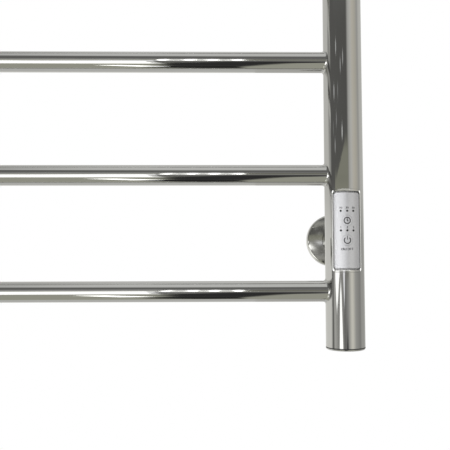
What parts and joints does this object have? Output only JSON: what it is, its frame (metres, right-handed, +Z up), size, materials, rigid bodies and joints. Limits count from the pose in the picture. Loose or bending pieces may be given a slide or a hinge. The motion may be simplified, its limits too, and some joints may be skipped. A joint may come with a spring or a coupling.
{
  "type": "towel warmer rack",
  "caption": "Wall-mounted ladder towel warmer of polished round tubes, with a push-button control set in one post and round rosettes that slide along the wall brackets.",
  "frame": {"origin": "centre of the wall screw pattern, in the plane of the wall", "axes": "+Z up, +Y into the wall, front faces -Y, +X to the right of someone looking at the front"},
  "size_m": [0.546, 0.0892, 0.718],
  "materials": {
    "polished_tube": "mirror polished stainless steel",
    "polished_cap": "mirror polished stainless steel",
    "polished_sleeve": "mirror polished stainless steel",
    "polished_rosette": "mirror polished pressed steel",
    "foot_steel": "plain machined steel",
    "black_rubber": "soft matt rubber",
    "screw_steel": "zinc plated",
    "bezel_chrome": "bright plated frame",
    "silver_face": "fine metallic silver paint, satin",
    "black_plastic": "moulded black plastic",
    "smoked_plastic": "smoked clear plastic",
    "light_chip": "moulded light chip",
    "board_green": "lacquered circuit board",
    "relay_blue": "moulded relay case",
    "capacitor_sleeve": "shrink sleeve",
    "terminal_grey": "moulded terminal block",
    "cable_silicone": "silicone rubber",
    "cutout_metal": "drawn can",
    "earth_brass": "plain brass"
  },
  "bodies": {
    "wall_feet": {"lower_left_foot": "foot_steel", "upper_left_foot": "foot_steel", "lower_right_foot": "foot_steel", "upper_right_foot": "foot_steel"},
    "rack": {"left_post": "polished_tube", "right_post": "polished_tube", "towel_bar_1": "polished_tube", "towel_bar_2": "polished_tube", "towel_bar_3": "polished_tube", "towel_bar_4": "polished_tube", "towel_bar_5": "polished_tube", "towel_bar_6": "polished_tube", "towel_bar_7": "polished_tube", "towel_bar_8": "polished_tube", "left_bottom_cap": "polished_cap", "left_top_cap": "polished_cap", "right_bottom_cap": "polished_cap", "right_top_cap": "polished_cap", "lower_left_sleeve": "polished_sleeve", "upper_left_sleeve": "polished_sleeve", "lower_right_sleeve": "polished_sleeve", "upper_right_sleeve": "polished_sleeve", "grub_screws": "screw_steel", "control_bezel": "bezel_chrome", "control_gasket": "black_rubber", "control_face": "silver_face", "push_switches": "black_plastic", "light_pipes": "smoked_plastic", "indicator_lights": "light_chip", "control_board": "board_green", "control_tray": "black_plastic", "control_screws": "screw_steel", "power_relay": "relay_blue", "capacitor": "capacitor_sleeve", "terminal_block": "terminal_grey", "terminal_screws": "screw_steel", "heating_cable": "cable_silicone", "heating_cable_seal": "black_rubber", "thermal_cutout": "cutout_metal", "cable_grommet": "black_rubber", "earth_stud": "earth_brass", "earth_tag": "earth_brass", "earth_nut": "earth_brass"},
    "rosette_lower_left": {"lower_left_rosette": "polished_rosette", "lower_left_rosette_ring": "black_rubber"},
    "rosette_upper_left": {"upper_left_rosette": "polished_rosette", "upper_left_rosette_ring": "black_rubber"},
    "rosette_lower_right": {"lower_right_rosette": "polished_rosette", "lower_right_rosette_ring": "black_rubber"},
    "rosette_upper_right": {"upper_right_rosette": "polished_rosette", "upper_right_rosette_ring": "black_rubber"},
    "timer_key": {"timer_button": "silver_face", "timer_plunger": "black_plastic"},
    "power_key": {"power_button": "silver_face", "power_plunger": "black_plastic"}
  },
  "joints": [
    {"name": "stand_off_slide", "type": "slide", "parent": "wall_feet", "child": "rack", "axis": [0, -1, 0], "range_m": [-0.003, 0.004]},
    {"name": "rosette_lower_left_slide", "type": "slide", "parent": "wall_feet", "child": "rosette_lower_left", "axis": [0, -1, 0], "range_m": [0, 0.038]},
    {"name": "rosette_upper_left_slide", "type": "slide", "parent": "wall_feet", "child": "rosette_upper_left", "axis": [0, -1, 0], "range_m": [0, 0.038]},
    {"name": "rosette_lower_right_slide", "type": "slide", "parent": "wall_feet", "child": "rosette_lower_right", "axis": [0, -1, 0], "range_m": [0, 0.038]},
    {"name": "rosette_upper_right_slide", "type": "slide", "parent": "wall_feet", "child": "rosette_upper_right", "axis": [0, -1, 0], "range_m": [0, 0.038]},
    {"name": "timer_press", "type": "slide", "parent": "rack", "child": "timer_key", "axis": [0, 1, 0], "range_m": [0, 0.0005], "stiffness_N_per_m": 3000, "springref_m": -0.0002},
    {"name": "power_press", "type": "slide", "parent": "rack", "child": "power_key", "axis": [0, 1, 0], "range_m": [0, 0.0005], "stiffness_N_per_m": 3000, "springref_m": -0.0002}
  ]
}
